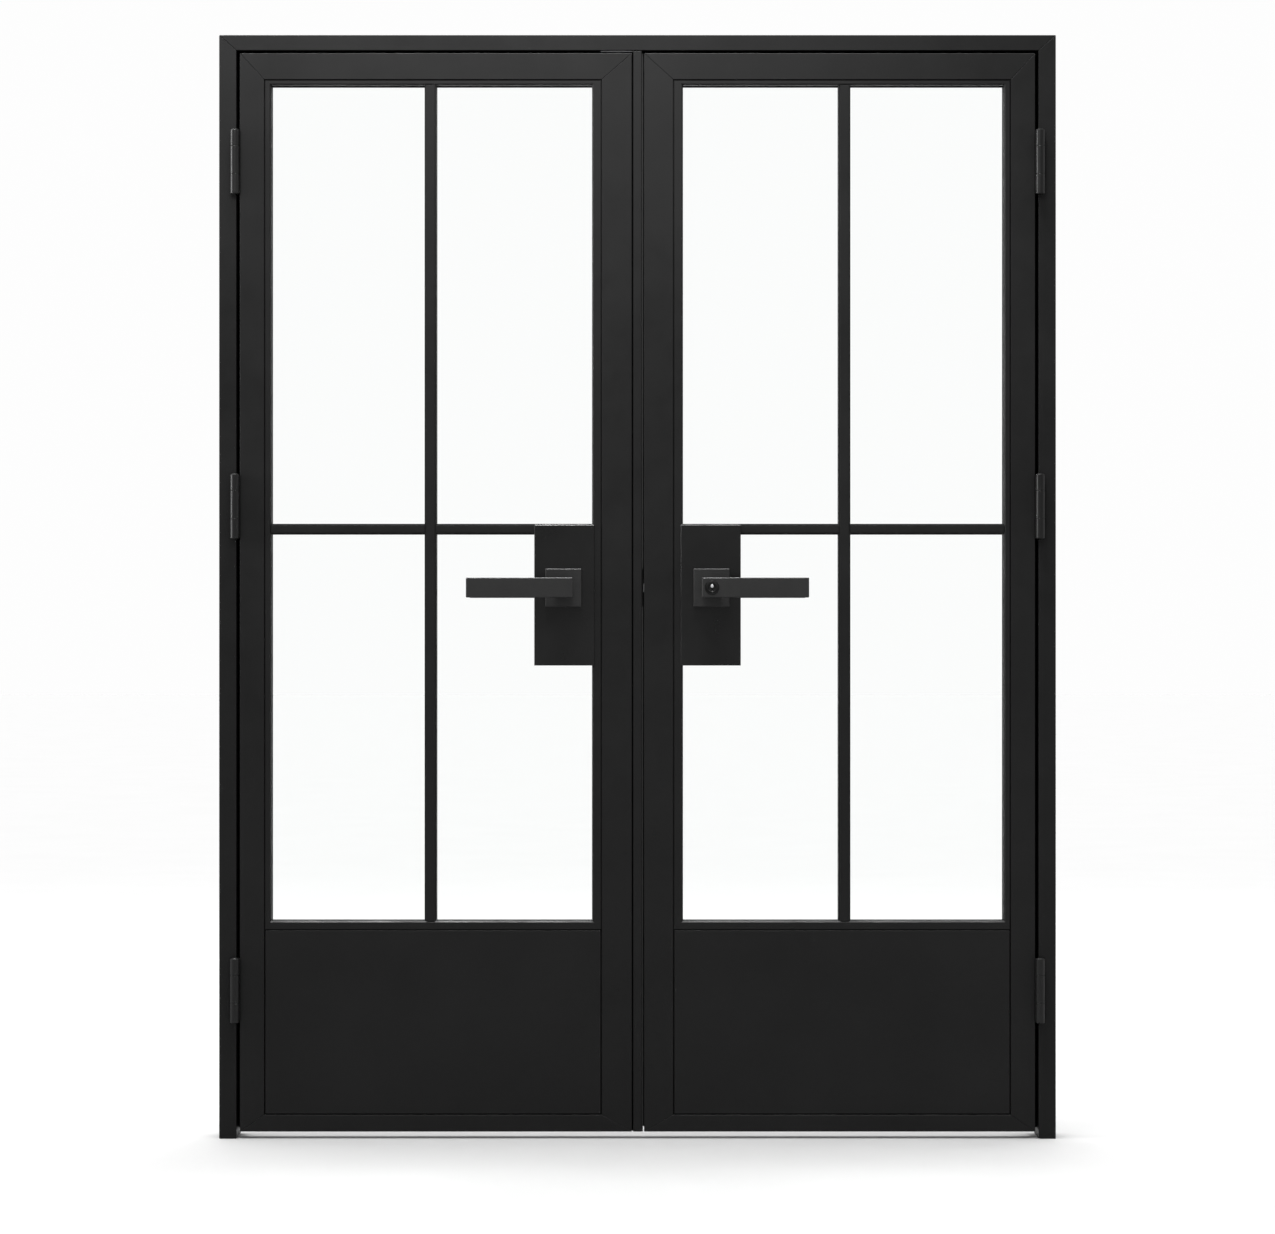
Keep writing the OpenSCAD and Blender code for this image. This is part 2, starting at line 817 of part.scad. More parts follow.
// A vertical bar's face, from the bottom bead to the top one.
module vertical_face() {
    translate([bar_x, 0, sight_z0]) linear_extrude(sight_z1 - sight_z0)
        bar_face(bar_w, front_y);
}

// A horizontal bar's face, from x0 to x1.
module cross_face(x0, x1) {
    translate([x0, 0, bar_z]) rotate([90, 0, 90]) linear_extrude(x1 - x0)
        rotate(-90) mirror([1, 0]) bar_face(cross_bar_h, front_y + cross_bar_in);
}

module front_bars() {
    vertical_face();
    cross_face(sight_x0, bar_x - bar_w / 2);
    cross_face(bar_x + bar_w / 2, sight_x1);
}

// The welded grid: the webs between the panes and the faces on the back.
module bar_grid() {
    union() {
        span([bar_x - web_w / 2, -bead_y, sill_z], [bar_x + web_w / 2, bead_y, field_z1]);
        span([field_x0, -bead_y, bar_z - web_w / 2], [field_x1, bead_y, bar_z + web_w / 2]);
        mirror([0, 1, 0]) {
            vertical_face();
            cross_face(sight_x0, bar_x);
            cross_face(bar_x, sight_x1);
        }
    }
}

module left_front_bars() {
    color(LEAF_STEEL) on_left() front_bars();
}

module right_front_bars() {
    color(LEAF_STEEL) front_bars();
}

module left_bar_grid() {
    color(LEAF_STEEL) on_left() bar_grid();
}

module right_bar_grid() {
    color(LEAF_STEEL) bar_grid();
}

// The outline of a pane's cell, drawn inwards by inset.
module cell(x0, x1, z0, z1, inset) {
    translate([x0 + inset, z0 + inset]) square([x1 - x0 - 2 * inset, z1 - z0 - 2 * inset]);
}

// The outline of the cell that the lock box cuts into, drawn inwards by inset.
module notched_cell(x0, x1, z0, z1, inset) {
    polygon([
        [x0 + inset, z0 + inset], [x1 - inset, z0 + inset], [x1 - inset, z1 - inset],
        [box_x1 + inset, z1 - inset], [box_x1 + inset, box_z0 - inset],
        [x0 + inset, box_z0 - inset]
    ]);
}

// The four cells of a leaf, each made solid between y0 and y1.
module cells(y0, y1, inset) {
    web = web_w / 2;
    slab(y0, y1) cell(field_x0, bar_x - web, bar_z + web, field_z1, inset);
    slab(y0, y1) cell(bar_x + web, field_x1, bar_z + web, field_z1, inset);
    slab(y0, y1) cell(bar_x + web, field_x1, sill_z, bar_z - web, inset);
    slab(y0, y1) notched_cell(field_x0, bar_x - web, sill_z, bar_z - web, inset);
}

module panes() {
    cells(-glass_y, glass_y, glass_play);
}

// A gasket wraps each pane's edge and laps onto both its faces.
module gaskets() {
    difference() {
        cells(-bead_y, bead_y, 0);
        cells(-bead_y - 1, bead_y + 1, glass_play + gasket_lap);
        cells(-glass_y, glass_y, glass_play);
    }
}

module left_glass() {
    color(GLASS) on_left() panes();
}

module right_glass() {
    color(GLASS) panes();
}

module left_gaskets() {
    color(RUBBER) on_left() gaskets();
}

module right_gaskets() {
    color(RUBBER) gaskets();
}

// ---- lock boxes, plates and handles ----

// A welded box that fills the corner of the pane, with a neck to the meeting stile.
module lock_box() {
    difference() {
        union() {
            span([box_x0, front_y, box_z0], [box_x1, back_y, box_z1]);
            span([field_x0, -neck_y, lever_z - neck_h / 2],
                [box_x0 + 1, neck_y, lever_z + neck_h / 2]);
        }
        span([box_x0 + tube_wall, front_y + tube_wall, box_z0 + tube_wall],
            [box_x1 - tube_wall, back_y - tube_wall, box_z1 - tube_wall]);
        span([field_x0 - 1, -case_y - hole_play, lever_z - case_z - hole_play],
            [box_x0 + tube_wall + 1, case_y + hole_play, lever_z + case_z + hole_play]);
        rod_y_dir(chassis_r + hole_play, front_y - 1, back_y + 1, lever_x, lever_z);
    }
}

// A cover plate with bevelled edges and the chassis hole.
module lock_plate() {
    xm = (plate_x0 + plate_x1) / 2;
    zm = (plate_z0 + plate_z1) / 2;
    difference() {
        intersection() {
            span([plate_x0, -plate_y, plate_z0], [plate_x1, front_y, plate_z1]);
            translate([0, 0, zm]) along_x(plate_x0, plate_x1)
                bevelled_front(plate_y, front_y, plate_h);
            translate([xm, 0, plate_z0]) linear_extrude(plate_h)
                rotate(-90) mirror([1, 0]) bevelled_front(plate_y, front_y, plate_w);
        }
        rod_y_dir(chassis_r + hole_play, -plate_y - 1, front_y + 1, lever_x, lever_z);
    }
}

// A section, deep along X and w wide, with both corners bevelled at its face at -face.
module bevelled_front(face, back, w) {
    polygon([
        [-face, -w / 2 + plate_bevel], [-face + plate_bevel, -w / 2], [back, -w / 2],
        [back, w / 2], [-face + plate_bevel, w / 2], [-face, w / 2 - plate_bevel]
    ]);
}

// A square rose with bevelled edges, around the lever's hub.
module rose() {
    difference() {
        intersection() {
            span([lever_x - rose_w / 2, -rose_y, lever_z - rose_h / 2],
                [lever_x + rose_w / 2, -plate_y, lever_z + rose_h / 2]);
            translate([0, 0, lever_z]) along_x(lever_x - rose_w / 2, lever_x + rose_w / 2)
                bevelled_front(rose_y, -plate_y, rose_h);
            translate([lever_x, 0, lever_z - rose_h / 2]) linear_extrude(rose_h)
                rotate(-90) mirror([1, 0]) bevelled_front(rose_y, -plate_y, rose_w);
        }
        rod_y_dir(hub_r + part_play, -rose_y - 1, -plate_y + 1, lever_x, lever_z);
    }
}

// A lever: a flat bevelled bar on a round hub that takes the spindle's square end.
module lever() {
    xm = lever_x + (lever_reach - lever_tail) / 2;
    bar_l = lever_reach + lever_tail;
    difference() {
        union() {
            intersection() {
                translate([xm, 0, lever_z]) slab(-lever_y, -lever_y + lever_t)
                    bevelled(bar_l, lever_h, lever_bevel);
                translate([0, -lever_y + lever_t / 2, lever_z])
                    along_x(xm - bar_l / 2, xm + bar_l / 2)
                        bevelled(lever_t, lever_h, lever_bevel);
                translate([xm, -lever_y + lever_t / 2, lever_z - lever_h / 2])
                    linear_extrude(lever_h) bevelled(bar_l, lever_t, lever_bevel);
            }
            rod_y_dir(hub_r, -lever_y + lever_t - 1, -hub_seat, lever_x, lever_z);
        }
        square_end(hub_seat - 1, hub_seat + square_l + socket_play,
            square_w + 2 * socket_play);
    }
}

// A square bar on the lever's axis, on the front side, from y0 to y1 out from the middle.
module square_end(y0, y1, w) {
    span([lever_x - w / 2, -y1, lever_z - w / 2], [lever_x + w / 2, -y0, lever_z + w / 2]);
}

// A lever with a round seat of radius r in its end.
module bored_lever(r) {
    difference() {
        lever();
        rod_y_dir(r, -lever_y - 1, -lever_y + key_l, lever_x, lever_z);
    }
}

module spindle() {
    union() {
        rod_y_dir(spindle_r, -hub_seat + socket_play, hub_seat - socket_play,
            lever_x, lever_z);
        both_faces() square_end(hub_seat - 1, hub_seat + square_l, square_w);
    }
}

module left_lock_box() {
    color(LEAF_STEEL) on_left() lock_box();
}

module right_lock_box() {
    color(LEAF_STEEL) lock_box();
}

module left_lock_plates() {
    color(PANEL_STEEL) on_left() both_faces() lock_plate();
}

module right_lock_plates() {
    color(PANEL_STEEL) both_faces() lock_plate();
}

module left_roses() {
    color(HANDLE_STEEL) on_left() both_faces() rose();
}

module right_roses() {
    color(HANDLE_STEEL) both_faces() rose();
}

module left_front_lever() {
    color(HANDLE_STEEL) on_left() lever();
}

module left_back_lever() {
    color(HANDLE_STEEL) on_left() mirror([0, 1, 0]) lever();
}

module left_spindle() {
    color(BRIGHT_STEEL) on_left() spindle();
}

module right_front_lever() {
    color(HANDLE_STEEL) bored_lever(key_r + hole_play);
}

module right_back_lever() {
    color(HANDLE_STEEL) mirror([0, 1, 0]) bored_lever(plug_r + fit_play);
}

module right_spindle() {
    color(BRIGHT_STEEL) spindle();
}

// ---- the right leaf's latch and key ----

// The chassis that carries the spindle, between the two cover plates.
module lock_chassis() {
    color(BRIGHT_STEEL) difference() {
        rod_y_dir(chassis_r, -plate_y, plate_y, lever_x, lever_z);
        rod_y_dir(spindle_r + fit_play, -plate_y - 1, plate_y + 1, lever_x, lever_z);
        both_faces() rod_y_dir(hub_r + part_play, -plate_y - 1, -hub_seat + 3,
            lever_x, lever_z);
        span([case_x1 - 1, -case_y - hole_play, lever_z - case_z - hole_play],
            [lever_x - spindle_r - 6, case_y + hole_play, lever_z + case_z + hole_play]);
    }
}

// A square tube around the latch bolt, from the face plate to the chassis.
module latch_case() {
    color(BRIGHT_STEEL) difference() {
        union() {
            span([case_x0, -case_y, lever_z - case_z],
                [case_x1 + 8, case_y, lever_z + case_z]);
            span([case_x0, -case_y, lever_z - face_h / 2],
                [case_x0 + 8, case_y, lever_z + face_h / 2]);
        }
        span([case_x0 - 1, -latch_t / 2 - part_play, lever_z - latch_h / 2 - part_play],
            [case_x1 + 4, latch_t / 2 + part_play, lever_z + latch_h / 2 + part_play]);
        for (side = [-1, 1])
            rod_x_dir(face_screw_r + fit_play, case_x0 - 1, case_x0 + 9, 0,
                lever_z + side * face_screw_z);
    }
}

// The bolt, with its nose sloped on the side that meets the strike first.
module latch_bolt() {
    color(BRIGHT_STEEL) translate([0, 0, lever_z - latch_h / 2]) linear_extrude(latch_h)
        polygon([
            [latch_x0, -latch_t / 2], [latch_x1, -latch_t / 2], [latch_x1, latch_t / 2],
            [latch_x0 + latch_t * 0.7, latch_t / 2], [latch_x0, latch_t * 0.1]
        ]);
}

module latch_face_plate() {
    color(BRIGHT_STEEL) difference() {
        span([right_edge, -face_w / 2, lever_z - face_h / 2],
            [case_x0, face_w / 2, lever_z + face_h / 2]);
        span([right_edge - 1, -latch_t / 2 - part_play, lever_z - latch_h / 2 - part_play],
            [case_x0 + 1, latch_t / 2 + part_play, lever_z + latch_h / 2 + part_play]);
        for (side = [-1, 1])
            rod_x_dir(face_screw_r + fit_play, right_edge - 1, case_x0 + 1, 0,
                lever_z + side * face_screw_z);
    }
}

// The cylinder's shell, pressed into the right front lever.
module key_cylinder() {
    color(BRIGHT_STEEL) difference() {
        rod_y_dir(key_r, -lever_y - key_proud, -lever_y + key_l, lever_x, lever_z);
        rod_y_dir(plug_r + fit_play, -lever_y - key_proud - 1,
            -lever_y - key_proud + plug_l + part_play, lever_x, lever_z);
    }
}

// The plug, with its keyway.
module key_plug() {
    face = lever_y + key_proud;
    color(BRIGHT_STEEL) difference() {
        rod_y_dir(plug_r, -face, -face + plug_l, lever_x, lever_z);
        span([lever_x - keyway_w / 2, -face - 1, lever_z - keyway_h / 2],
            [lever_x + keyway_w / 2, -face + keyway_l, lever_z + keyway_h / 2]);
    }
}

// The turn button in the right back lever.
module inside_turn() {
    color(BRIGHT_STEEL) union() {
        rod_y_dir(plug_r, lever_y - plug_l, lever_y + key_proud, lever_x, lever_z);
        span([lever_x - turn_t / 2, lever_y, lever_z - turn_h / 2],
            [lever_x + turn_t / 2, lever_y + key_proud + turn_l, lever_z + turn_h / 2]);
    }
}

// ---- the left leaf's bolts, astragal and strike ----

// The gearbox that turns the lever's movement into the bolts' throw.
module bolt_drive_case() {
    color(BRIGHT_STEEL) on_left() difference() {
        union() {
            rod_y_dir(chassis_r, -plate_y, plate_y, lever_x, lever_z);
            span([rod_x - bolt_r - 3, -case_y, lever_z - case_z],
                [lever_x, case_y, lever_z + case_z]);
        }
        rod_y_dir(spindle_r + fit_play, -plate_y - 1, plate_y + 1, lever_x, lever_z);
        both_faces() rod_y_dir(hub_r + part_play, -plate_y - 1, -hub_seat + 3,
            lever_x, lever_z);
        translate([rod_x, 0, lever_z - case_z - 1])
            cylinder(r = bolt_r + fit_play, h = 2 * case_z + 2);
    }
}

module top_bolt() {
    color(BRIGHT_STEEL) translate([-rod_x, 0, lever_z + rod_gap / 2])
        cylinder(r = bolt_r, h = leaf_z1 - lever_z - rod_gap / 2);
}

module bottom_bolt() {
    color(BRIGHT_STEEL) translate([-rod_x, 0, leaf_z0])
        cylinder(r = bolt_r, h = lever_z - rod_gap / 2 - leaf_z0);
}

// A hollow bar between the leaves, on a spine that the left leaf carries.
module astragal() {
    top = open_z - astragal_top_gap;
    color(LEAF_STEEL) difference() {
        union() {
            translate([0, 0, leaf_z0]) linear_extrude(top - leaf_z0)
                bevelled(astragal_w, leaf_t, 1);
            span([-left_edge, -leaf_t / 4, leaf_z0], [-astragal_w / 2 + 1, leaf_t / 4, leaf_z1]);
        }
        span([-astragal_w / 2 + tube_wall, front_y + tube_wall, leaf_z0 + tube_wall],
            [astragal_w / 2 - tube_wall, back_y - tube_wall, top - tube_wall]);
        span([astragal_w / 2 - tube_wall - 1, -latch_t / 2 - 1, lever_z - latch_h / 2 - 1],
            [astragal_w / 2 + 1, latch_t / 2 + 1, lever_z + latch_h / 2 + 1]);
        for (side = [-1, 1])
            rod_x_dir(face_screw_r + fit_play, astragal_w / 2 - tube_wall - 1,
                astragal_w / 2 + 1, 0, lever_z + side * strike_screw_z);
    }
}

// The seal's two lengths stop at the strike plate, so that the latch can pass between them.
module meeting_seal() {
    ends = [[leaf_z0, lever_z - strike_h / 2], [lever_z + strike_h / 2, leaf_z1]];
    color(RUBBER) for (end = ends)
        span([astragal_w / 2, front_y + meeting_seal_in, end[0]],
            [right_edge - meeting_seal_play, front_y + meeting_seal_in + meeting_seal_w,
                end[1]]);
}

module strike_plate() {
    color(BRIGHT_STEEL) difference() {
        span([astragal_w / 2, -strike_w / 2, lever_z - strike_h / 2],
            [astragal_w / 2 + strike_t, strike_w / 2, lever_z + strike_h / 2]);
        span([astragal_w / 2 - 1, -latch_t / 2 - 1, lever_z - latch_h / 2 - 1],
            [astragal_w / 2 + strike_t + 1, latch_t / 2 + 1, lever_z + latch_h / 2 + 1]);
        for (side = [-1, 1])
            rod_x_dir(face_screw_r + fit_play, astragal_w / 2 - 1,
                astragal_w / 2 + strike_t + 1, 0, lever_z + side * strike_screw_z);
    }
}

left_jamb();
right_jamb();
head();
door_stops();
frame_seal();
head_keeper();
left_hinge_frame_halves();
left_hinge_door_halves();
left_hinge_pins();
right_hinge_frame_halves();
right_hinge_door_halves();
right_hinge_pins();
jamb_hinge_screws();
left_leaf_screws();
right_leaf_screws();
left_hinge_stile();
left_meeting_stile();
left_rails();
left_beads();
left_bar_grid();
left_front_bars();
left_glass();
left_gaskets();
left_kick_panels();
left_kick_core();
left_lock_box();
left_lock_plates();
left_roses();
left_front_lever();
left_back_lever();
left_spindle();
bolt_drive_case();
top_bolt();
bottom_bolt();
astragal();
meeting_seal();
strike_plate();
right_hinge_stile();
right_meeting_stile();
right_rails();
right_beads();
right_bar_grid();
right_front_bars();
right_glass();
right_gaskets();
right_kick_panels();
right_kick_core();
right_lock_box();
right_lock_plates();
right_roses();
right_front_lever();
right_back_lever();
right_spindle();
lock_chassis();
latch_case();
latch_bolt();
latch_face_plate();
key_cylinder();
key_plug();
inside_turn();
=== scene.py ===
"""The looks of the steel french doors: finishes, small fittings, studio and camera.

Metres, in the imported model's frame: +Z up, the doors face -Y, Z = 0 is the floor.
"""

import json
import math

import bmesh
import bpy
from mathutils import Matrix, Vector


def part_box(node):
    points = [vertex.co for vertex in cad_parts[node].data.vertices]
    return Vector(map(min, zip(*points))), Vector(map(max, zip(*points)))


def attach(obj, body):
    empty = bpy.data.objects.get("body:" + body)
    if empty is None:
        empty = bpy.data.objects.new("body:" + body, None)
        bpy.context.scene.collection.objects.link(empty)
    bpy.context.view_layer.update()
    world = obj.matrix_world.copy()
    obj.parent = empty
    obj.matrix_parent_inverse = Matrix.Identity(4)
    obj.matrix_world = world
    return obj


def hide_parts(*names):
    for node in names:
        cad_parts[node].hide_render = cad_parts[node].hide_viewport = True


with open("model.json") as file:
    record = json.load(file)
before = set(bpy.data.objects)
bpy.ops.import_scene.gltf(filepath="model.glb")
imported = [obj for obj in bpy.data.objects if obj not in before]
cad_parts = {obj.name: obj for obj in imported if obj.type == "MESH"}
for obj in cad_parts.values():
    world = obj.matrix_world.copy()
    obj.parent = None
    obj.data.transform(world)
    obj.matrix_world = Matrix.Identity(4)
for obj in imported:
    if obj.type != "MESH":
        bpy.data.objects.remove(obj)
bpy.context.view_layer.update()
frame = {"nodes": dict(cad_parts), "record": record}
NODES = frame["nodes"]

# ---- sizes ----

SOFT_EDGE = 0.001  # radius that the powder coat gives a sheared edge
CRISP_EDGE = 0.0004  # radius on machined handles and cover plates
PANEL_EDGE = 0.0009  # radius on the kick panels' sheet
SMALL_EDGE = 0.0002  # radius on plated parts inside
WELD_GAP = 0.000005  # packed corners nearer than this are one corner
ROUND_STEPS = 24  # points around a screw or a plug

# the socket screws
SUNK_HEAD_R = 0.003  # a screw with more radius than this has a countersunk head
SUNK_HEAD_H = 0.002
SUNK_HEAD_REACH = 0.0021  # how far a countersunk head stands out past its shank
PLAIN_END_H = 0.0012  # the smooth end of a screw that has no head
SOCKET_DEPTH = 0.0014
THREAD_PITCH = 0.0011
HINGE_SIDE = 0.5  # further than this from the middle of the doors, a leaf's screws hold hinges

# the lock cylinder
PLUG_INSET = 0.0008  # how far the key plug's face lies behind the cylinder's
KEYWAY_HALF_W = 0.0007
KEYWAY_HALF_H = 0.0038
KEYWAY_RIB = 0.0005
KEYWAY_DEPTH = 0.008

# the meeting seal's lip
LIP_T = 0.0007
LIP_END_GAP = 0.004  # from the ends of the right leaf's meeting stile
LIP_STEPS = 24  # stretches along its height

CAMERA_HEIGHT = 0.973
CAMERA_DISTANCE = 7.0  # in front of the leaves' front faces
CAMERA_LENS = 106.0
BACKDROP = 0.985  # how white the surround is to the camera
FRONT_DIM = 0.3  # how much of the surround's light comes from low down in front
FLOOR_REACH = 40.0


# ---- shader helpers ----


def new_material(name):
    """An empty node material with its output, as (material, nodes, links, Principled)."""
    mat = bpy.data.materials.new(name)
    mat.use_nodes = True
    nodes, links = mat.node_tree.nodes, mat.node_tree.links
    return mat, nodes, links, nodes["Principled BSDF"]


def add(nodes, kind, **values):
    """A node of that kind. Keys that name an input set its value, and others set a property."""
    node = nodes.new(kind)
    for key, value in values.items():
        label = key.replace("_", " ").title()
        if label in node.inputs:
            node.inputs[label].default_value = value
        else:
            setattr(node, key, value)
    return node


def object_coords(nodes, links, scale=(1, 1, 1)):
    """The surface's own coordinates in metres, stretched by scale."""
    coords = nodes.new("ShaderNodeTexCoord")
    mapping = add(nodes, "ShaderNodeMapping", scale=scale)
    links.new(coords.outputs["Object"], mapping.inputs["Vector"])
    return mapping.outputs["Vector"]


def noise(nodes, links, vector, scale, detail=3.0, roughness=0.55):
    """A noise of that many waves a metre, as a value from 0 to 1."""
    node = add(nodes, "ShaderNodeTexNoise", scale=scale, detail=detail, roughness=roughness)
    links.new(vector, node.inputs["Vector"])
    return node.outputs["Fac"]


def ramp(nodes, links, value, low, high, start=0.3, end=0.7):
    """value from start to end, turned into colours or greys from low to high."""
    node = nodes.new("ShaderNodeValToRGB")
    for stop, position, colour in zip(node.color_ramp.elements, (start, end), (low, high)):
        stop.position = position
        stop.color = (*colour, 1) if isinstance(colour, tuple) else (colour,) * 3 + (1,)
    links.new(value, node.inputs["Fac"])
    return node.outputs["Color"]


def bump(nodes, links, height, distance, strength=1.0, under=None):
    """A bump of that height in metres, on top of another one."""
    node = add(nodes, "ShaderNodeBump", distance=distance, strength=strength)
    links.new(height, node.inputs["Height"])
    if under is not None:
        links.new(under, node.inputs["Normal"])
    return node.outputs["Normal"]


# ---- finishes ----


def powder_coat(name, dark, light, gloss=(0.42, 0.58), shine=0.16, peel=0.00003):
    """Satin black powder coat: faint clouds of tone, orange peel and fine grit."""
    mat, nodes, links, shader = new_material(name)
    vector = object_coords(nodes, links)
    clouds = noise(nodes, links, vector, 5.0, 4.0, 0.6)
    links.new(ramp(nodes, links, clouds, dark, light), shader.inputs["Base Color"])
    patches = noise(nodes, links, vector, 14.0, 5.0, 0.65)
    links.new(ramp(nodes, links, patches, *gloss), shader.inputs["Roughness"])
    skin = bump(nodes, links, noise(nodes, links, vector, 420.0, 2.0), peel)
    grit = bump(nodes, links, noise(nodes, links, vector, 2600.0, 1.0), peel / 5, 1.0, skin)
    links.new(grit, shader.inputs["Normal"])
    shader.inputs["Specular IOR Level"].default_value = shine
    return mat


def satin_black_metal(name, dark, light, gloss=(0.34, 0.46), shine=0.16):
    """Black anodised metal with a fine grain drawn out along X."""
    mat, nodes, links, shader = new_material(name)
    vector = object_coords(nodes, links, (0.06, 1, 1))
    grain = noise(nodes, links, vector, 1800.0, 3.0)
    links.new(ramp(nodes, links, grain, dark, light), shader.inputs["Base Color"])
    cloud = noise(nodes, links, object_coords(nodes, links), 30.0, 3.0)
    links.new(ramp(nodes, links, cloud, *gloss), shader.inputs["Roughness"])
    links.new(bump(nodes, links, grain, 0.000006), shader.inputs["Normal"])
    shader.inputs["Specular IOR Level"].default_value = shine
    return mat


def zinc_plate(name, tone=0.5):
    """Bright zinc-plated steel with drawn lines and duller patches."""
    mat, nodes, links, shader = new_material(name)
    lines = noise(nodes, links, object_coords(nodes, links, (1, 1, 0.05)), 2400.0, 3.0)
    patches = noise(nodes, links, object_coords(nodes, links), 60.0, 4.0)
    low, high = tone * 0.8, tone * 1.15
    links.new(
        ramp(nodes, links, patches, (low, low, low * 1.02), (high, high, high * 1.03)),
        shader.inputs["Base Color"],
    )
    links.new(ramp(nodes, links, lines, 0.28, 0.44), shader.inputs["Roughness"])
    links.new(bump(nodes, links, lines, 0.00001), shader.inputs["Normal"])
    shader.inputs["Metallic"].default_value = 1.0
    return mat


def black_rubber(name):
    """Matt extruded rubber with a fine skin."""
    mat, nodes, links, shader = new_material(name)
    vector = object_coords(nodes, links)
    bloom = noise(nodes, links, vector, 40.0, 4.0)
    links.new(ramp(nodes, links, bloom, 0.008, 0.016), shader.inputs["Base Color"])
    links.new(ramp(nodes, links, bloom, 0.7, 0.85), shader.inputs["Roughness"])
    skin = noise(nodes, links, vector, 900.0, 2.0)
    links.new(bump(nodes, links, skin, 0.00004), shader.inputs["Normal"])
    return mat


def rigid_foam(name):
    """Cream insulating foam with open cells."""
    mat, nodes, links, shader = new_material(name)
    vector = object_coords(nodes, links)
    cells = add(nodes, "ShaderNodeTexVoronoi", scale=600.0)
    links.new(vector, cells.inputs["Vector"])
    tone = ramp(nodes, links, cells.outputs["Distance"], (0.62, 0.57, 0.42), (0.8, 0.76, 0.62))
    links.new(tone, shader.inputs["Base Color"])
    links.new(
        bump(nodes, links, cells.outputs["Distance"], 0.0003), shader.inputs["Normal"]
    )
    shader.inputs["Roughness"].default_value = 0.9
    return mat


def clear_glass(name):
    """Clear float glass that lets the lamps through."""
    mat, nodes, links, shader = new_material(name)
    waves = noise(nodes, links, object_coords(nodes, links), 2.0, 1.0)
    links.new(bump(nodes, links, waves, 0.00002, 0.2), shader.inputs["Normal"])
    shader.inputs["Base Color"].default_value = (0.985, 0.995, 0.99, 1)
    shader.inputs["Transmission Weight"].default_value = 1.0
    shader.inputs["Roughness"].default_value = 0.0
    shader.inputs["IOR"].default_value = 1.2
    path = nodes.new("ShaderNodeLightPath")
    through = add(nodes, "ShaderNodeBsdfTransparent", color=(0.97, 0.985, 0.98, 1))
    mix = nodes.new("ShaderNodeMixShader")
    links.new(path.outputs["Is Shadow Ray"], mix.inputs["Fac"])
    links.new(shader.outputs["BSDF"], mix.inputs[1])
    links.new(through.outputs["BSDF"], mix.inputs[2])
    links.new(mix.outputs["Shader"], nodes["Material Output"].inputs["Surface"])
    return mat


FINISHES = {
    "frame_steel": powder_coat("frame_powder_coat", 0.0022, 0.0036),
    "leaf_steel": powder_coat("leaf_powder_coat", 0.0028, 0.0046),
    "panel_steel": powder_coat("panel_powder_coat", 0.0028, 0.0044, (0.46, 0.6)),
    "handle_metal": satin_black_metal("handle_black", 0.012, 0.018),
    "cylinder_metal": satin_black_metal("cylinder_black", 0.001, 0.002, (0.16, 0.24), 0.25),
    "bare_steel": zinc_plate("zinc_plate"),
    "clear_glass": clear_glass("clear_glass"),
    "black_rubber": black_rubber("black_rubber"),
    "core_foam": rigid_foam("rigid_foam"),
}
PLATE_BLACK = powder_coat("plate_enamel", 0.0028, 0.0044, (0.26, 0.36), 0.24, 0.000004)
HINGE_BLACK = powder_coat("hinge_enamel", 0.004, 0.006, (0.3, 0.38), 0.22, 0.000004)


# ---- CAD nodes ----

GAP_SHADE_FITTINGS = ("strike_plate", "latch_face_plate")  # plated in the record, given black as painted shade of the meeting gap they sit in
EDGES = {
    "frame_steel": SOFT_EDGE,
    "leaf_steel": SOFT_EDGE,
    "panel_steel": PANEL_EDGE,
    "handle_metal": CRISP_EDGE,
    "cylinder_metal": CRISP_EDGE,
    "bare_steel": SMALL_EDGE,
}
FULL_EDGED = (
    "jamb", "head", "stile", "rails", "astragal", "lock_plates", "roses", "lever", "halves",
    "kick_panels",
)


def is_hinge(name):
    """Whether a node is a part of the hinges."""
    return "_hinge_" in name and name.endswith(("halves", "pins"))


def look_of(name, slot):
    """The material of a CAD node with that record slot."""
    # painted shade: the plated strike and latch face plates take the black handle finish,
    # standing in for the shade of the meeting gap
    if name in GAP_SHADE_FITTINGS:
        return FINISHES["handle_metal"]
    if name.endswith("lock_plates"):
        return PLATE_BLACK
    return HINGE_BLACK if is_hinge(name) else FINISHES[slot]


def dress_cad_nodes():
    """Gives every CAD node the finish of its record slot, and softens its sheared edges."""
    slots = {s["node"]: s["material_slot"] for s in frame["record"]["subparts"]}
    for name, obj in NODES.items():
        slot = slots[name]
        obj.data.materials.clear()
        obj.data.materials.append(look_of(name, slot))
        if slot in EDGES:
            crisp = is_hinge(name) or "_plates" in name
            soften(obj, CRISP_EDGE if crisp else EDGES[slot], name.endswith(FULL_EDGED))


def soften(obj, radius, whole):
    """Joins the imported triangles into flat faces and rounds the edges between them.

    Where whole is true, a short edge elsewhere doesn't narrow the rounding.
    """
    weld = obj.modifiers.new("weld", "WELD")
    weld.merge_threshold = WELD_GAP
    flat = obj.modifiers.new("flat", "DECIMATE")
    flat.decimate_type = "DISSOLVE"
    flat.angle_limit = math.radians(0.5)
    bevel = obj.modifiers.new("edge", "BEVEL")
    bevel.width = radius
    bevel.segments = 2
    bevel.limit_method = "ANGLE"
    bevel.angle_limit = math.radians(30)
    bevel.use_clamp_overlap = not whole
    even = obj.modifiers.new("even", "WEIGHTED_NORMAL")
    even.mode = "FACE_AREA"
    even.weight = 50
    for face in obj.data.polygons:
        face.use_smooth = True


# ---- small fittings ----


def ring(bm, centre, turn, points):
    """A loop of vertices at points (across, up, depth), placed by turn around centre."""
    return [bm.verts.new(centre + turn @ Vector(p)) for p in points]


